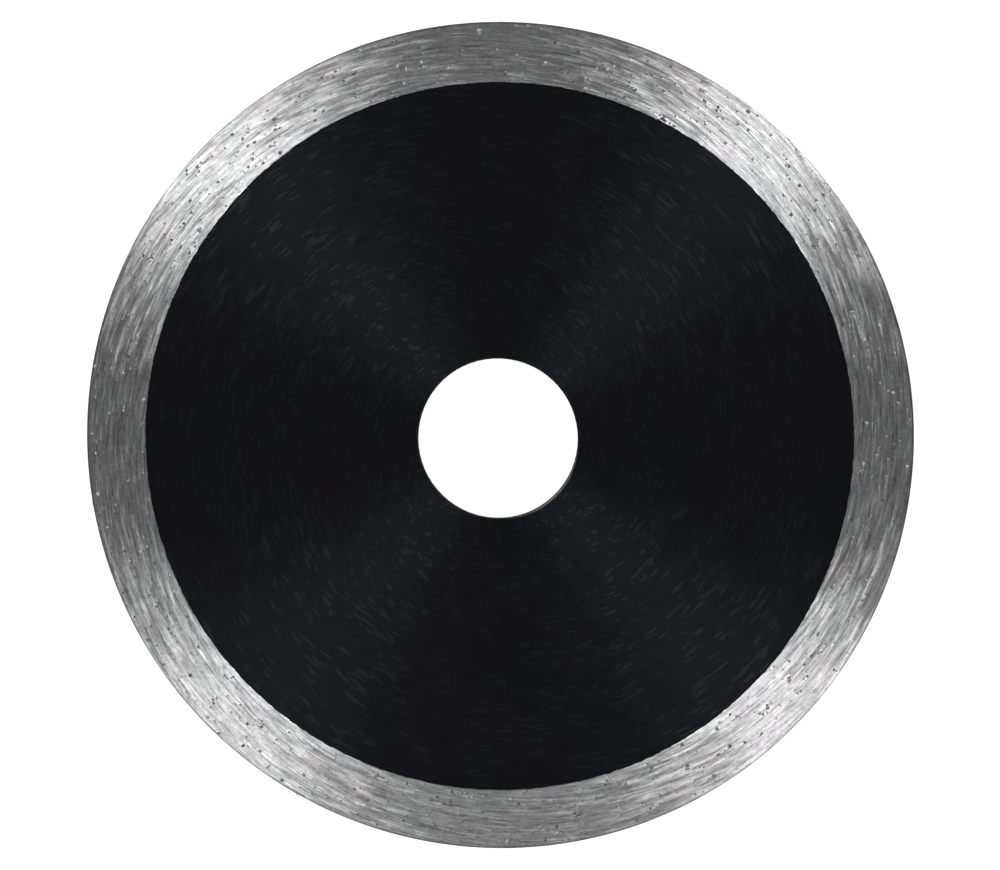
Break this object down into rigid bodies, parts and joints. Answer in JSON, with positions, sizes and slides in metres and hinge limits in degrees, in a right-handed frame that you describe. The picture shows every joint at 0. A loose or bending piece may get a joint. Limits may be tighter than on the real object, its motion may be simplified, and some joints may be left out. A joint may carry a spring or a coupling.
{
  "type": "diamond blade",
  "caption": "Flat round cutting blade: a black-lacquered steel disc with a central bore, and a continuous sintered metal-bond rim set with diamond grit round its edge.",
  "frame": {"origin": "centre of the bore, halfway through the blade's thickness", "axes": "+Z along the bore's axis, out of the blade's front face, with the blade lying flat; the blade is round, so +X and +Y are free"},
  "size_m": [0.115, 0.115, 0.002],
  "materials": {
    "lacquered_steel": "satin",
    "sintered_bond": "satin",
    "diamond": "gloss"
  },
  "bodies": {
    "root": {"steel_core": "lacquered_steel", "bond_rim": "sintered_bond", "diamond_grits": "diamond"}
  },
  "joints": []
}
